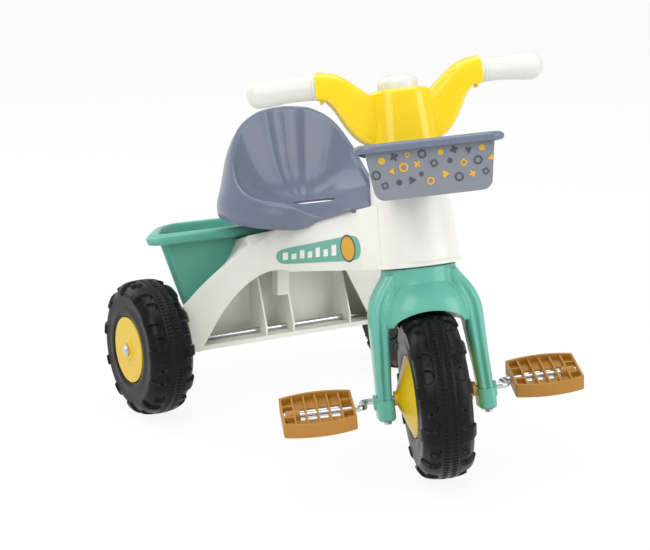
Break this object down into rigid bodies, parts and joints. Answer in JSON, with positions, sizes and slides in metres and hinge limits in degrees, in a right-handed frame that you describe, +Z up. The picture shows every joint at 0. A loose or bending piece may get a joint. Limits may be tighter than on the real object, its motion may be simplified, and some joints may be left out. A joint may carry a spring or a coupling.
{
  "type": "children's tricycle",
  "caption": "Child's pedal tricycle: raked steering head with basket and horn, pedal-driven front wheel, moulded seat, rear bucket and two free rear wheels.",
  "frame": {"origin": "on the ground under the middle of the bounding box", "axes": "+X ahead, +Y to the rider's left, +Z up; the front is stored turned 25 degrees to the right"},
  "size_m": [0.7295, 0.521, 0.5425],
  "materials": {
    "yellow_plastic": "gloss",
    "slate_plastic": "satin",
    "teal_plastic": "satin",
    "white_plastic": "satin",
    "grip_plastic": "satin",
    "ochre_plastic": "satin",
    "black_plastic": "satin",
    "inner_plastic": "satin",
    "bright_steel": "polished",
    "soft_pvc": "matte"
  },
  "bodies": {
    "frame": {"frame": "white_plastic", "seat": "slate_plastic", "seat_screws": "bright_steel", "rear_bucket": "teal_plastic", "bucket_screws": "bright_steel", "rear_axle": "bright_steel", "axle_push_nuts": "bright_steel", "lower_bush": "inner_plastic", "upper_bush": "inner_plastic"},
    "steering": {"fork": "teal_plastic", "fork_cap_right": "teal_plastic", "fork_cap_left": "teal_plastic", "cap_screws": "bright_steel", "basket": "slate_plastic", "handlebar": "yellow_plastic", "grip_right": "grip_plastic", "grip_left": "grip_plastic", "stem_screw": "bright_steel", "horn_bellows": "soft_pvc"},
    "front_wheel": {"front_tyre": "black_plastic", "front_hub_right": "yellow_plastic", "front_hub_left": "yellow_plastic", "crank": "bright_steel", "pedal_push_nuts": "bright_steel"},
    "pedal_right": {"pedal_right": "ochre_plastic"},
    "pedal_left": {"pedal_left": "ochre_plastic"},
    "rear_wheel_right": {"rear_tyre_right": "black_plastic", "rear_hub_outer_right": "yellow_plastic", "rear_hub_inner_right": "black_plastic"},
    "rear_wheel_left": {"rear_tyre_left": "black_plastic", "rear_hub_outer_left": "yellow_plastic", "rear_hub_inner_left": "black_plastic"},
    "horn_button": {"horn_button": "grip_plastic"}
  },
  "joints": [
    {"name": "steer", "type": "hinge", "parent": "frame", "child": "steering", "pos_m": [0.21316, 0, 0.10745], "axis": [-0.225, 0, 0.9744], "range_deg": [-15, 65]},
    {"name": "front_wheel_spin", "type": "hinge", "parent": "steering", "child": "front_wheel", "pos_m": [0.23259, -0.0093, 0.11194], "axis": [0.4118, 0.9063, 0.0951], "continuous": true},
    {"name": "pedal_right_spin", "type": "hinge", "parent": "front_wheel", "child": "pedal_right", "pos_m": [0.21386, -0.17356, 0.10761], "axis": [0.4118, 0.9063, 0.0951], "continuous": true},
    {"name": "pedal_left_spin", "type": "hinge", "parent": "front_wheel", "child": "pedal_left", "pos_m": [0.25132, 0.15497, 0.11626], "axis": [0.4118, 0.9063, 0.0951], "continuous": true},
    {"name": "rear_wheel_right_spin", "type": "hinge", "parent": "frame", "child": "rear_wheel_right", "pos_m": [-0.1944, -0.221, 0.09875], "axis": [0, 1, 0], "continuous": true},
    {"name": "rear_wheel_left_spin", "type": "hinge", "parent": "frame", "child": "rear_wheel_left", "pos_m": [-0.1944, 0.221, 0.09875], "axis": [0, 1, 0], "continuous": true},
    {"name": "horn_press", "type": "slide", "parent": "steering", "child": "horn_button", "axis": [0.225, 0, -0.9744], "range_m": [0, 0.005], "stiffness_N_per_m": 600, "springref_m": -0.003, "deforming": ["horn_bellows"]}
  ]
}
